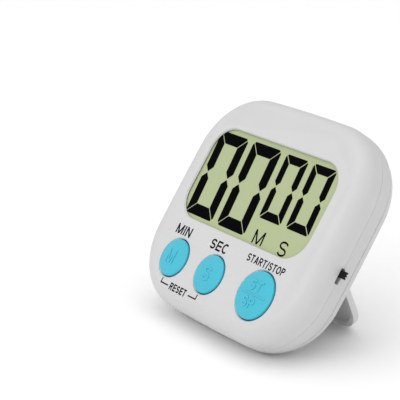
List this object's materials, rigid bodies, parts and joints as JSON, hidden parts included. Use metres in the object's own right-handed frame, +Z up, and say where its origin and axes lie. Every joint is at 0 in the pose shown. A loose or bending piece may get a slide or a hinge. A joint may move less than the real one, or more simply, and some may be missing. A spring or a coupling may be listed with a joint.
{
  "type": "countdown timer",
  "caption": "Palm-sized digital countdown timer with a large segment display, three round keys, a side power switch, back magnets and a fold-out stand.",
  "frame": {"origin": "centre of the footprint on the surface it stands on, below the middle of its bounding box", "axes": "+X to the timer's right seen from the front, along its longest side; +Y to the back; +Z up"},
  "size_m": [0.0774, 0.0484, 0.0613],
  "materials": {
    "case_white": "white moulded ABS, satin",
    "stand_white": "white moulded ABS, satin",
    "key_blue": "sky-blue moulded plastic, soft gloss",
    "black_plastic": "black nylon",
    "display_green": "grey-green polarising film",
    "display_glass": "clear glass",
    "frame_plastic": "natural moulded plastic",
    "connector_rubber": "silicone elastomer",
    "keypad_silicone": "grey silicone",
    "board_laminate": "green glass-fibre laminate",
    "cell_sleeve": "printed film sleeve",
    "nickel": "nickel plated steel",
    "screw_steel": "zinc plated steel",
    "magnet_plate": "plated magnet",
    "brass": "brass sheet",
    "wafer_ceramic": "silvered ceramic",
    "chip_ceramic": "chip capacitor ceramic",
    "epoxy": "black epoxy",
    "red_insulation": "PVC insulation",
    "black_insulation": "PVC insulation"
  },
  "bodies": {
    "case": {"aaa_cell": "cell_sleeve", "board_screw_bottom_left": "screw_steel", "board_screw_bottom_right": "screw_steel", "board_screw_top_left": "screw_steel", "board_screw_top_right": "screw_steel", "capacitor_left": "chip_ceramic", "capacitor_right": "chip_ceramic", "case_screw_bottom_left": "screw_steel", "case_screw_bottom_right": "screw_steel", "case_screw_top_left": "screw_steel", "case_screw_top_right": "screw_steel", "cell_lead_black": "black_insulation", "cell_lead_red": "red_insulation", "circuit_board": "board_laminate", "contact_spring": "nickel", "controller_blob": "epoxy", "display_frame": "frame_plastic", "display_front_film": "display_green", "display_front_glass": "display_glass", "display_rear_glass": "display_glass", "display_reflector": "display_green", "elastomer_connector": "connector_rubber", "front_shell": "case_white", "magnet_left": "magnet_plate", "magnet_right": "magnet_plate", "negative_contact": "nickel", "positive_contact": "nickel", "quartz_crystal": "nickel", "rear_shell": "case_white", "rubber_keypad": "keypad_silicone", "slide_switch": "nickel", "sounder_coil": "black_plastic", "sounder_lead_black": "black_insulation", "sounder_lead_red": "red_insulation", "sounder_plate": "brass", "sounder_transistor": "black_plastic", "sounder_wafer": "wafer_ceramic"},
    "stand": {"folding_stand": "stand_white"},
    "cell_door": {"battery_door": "case_white"},
    "power_switch": {"power_switch_knob": "black_plastic"},
    "min_key": {"min_button": "key_blue", "min_plunger": "black_plastic"},
    "sec_key": {"sec_button": "key_blue", "sec_plunger": "black_plastic"},
    "start_stop_key": {"start_stop_button": "key_blue", "start_stop_plunger": "black_plastic"}
  },
  "joints": [
    {"name": "stand_hinge", "type": "hinge", "parent": "case", "child": "stand", "pos_m": [-0.001, 0.00713, 0.02423], "axis": [1, 0, 0], "range_deg": [-57.5, 0]},
    {"name": "door_hinge", "type": "hinge", "parent": "case", "child": "cell_door", "pos_m": [-0.027, 0.01599, 0.03513], "axis": [0, 0.5592, 0.829], "range_deg": [0, 75]},
    {"name": "power_slide", "type": "slide", "parent": "case", "child": "power_switch", "axis": [0, -0.5592, -0.829], "range_m": [0, 0.0017]},
    {"name": "min_press", "type": "slide", "parent": "case", "child": "min_key", "axis": [0, 0.829, -0.5592], "range_m": [0, 0.0006], "stiffness_N_per_m": 1200, "springref_m": -0.0002},
    {"name": "sec_press", "type": "slide", "parent": "case", "child": "sec_key", "axis": [0, 0.829, -0.5592], "range_m": [0, 0.0006], "stiffness_N_per_m": 1200, "springref_m": -0.0002},
    {"name": "start_stop_press", "type": "slide", "parent": "case", "child": "start_stop_key", "axis": [0, 0.829, -0.5592], "range_m": [0, 0.0006], "stiffness_N_per_m": 1200, "springref_m": -0.0002}
  ]
}
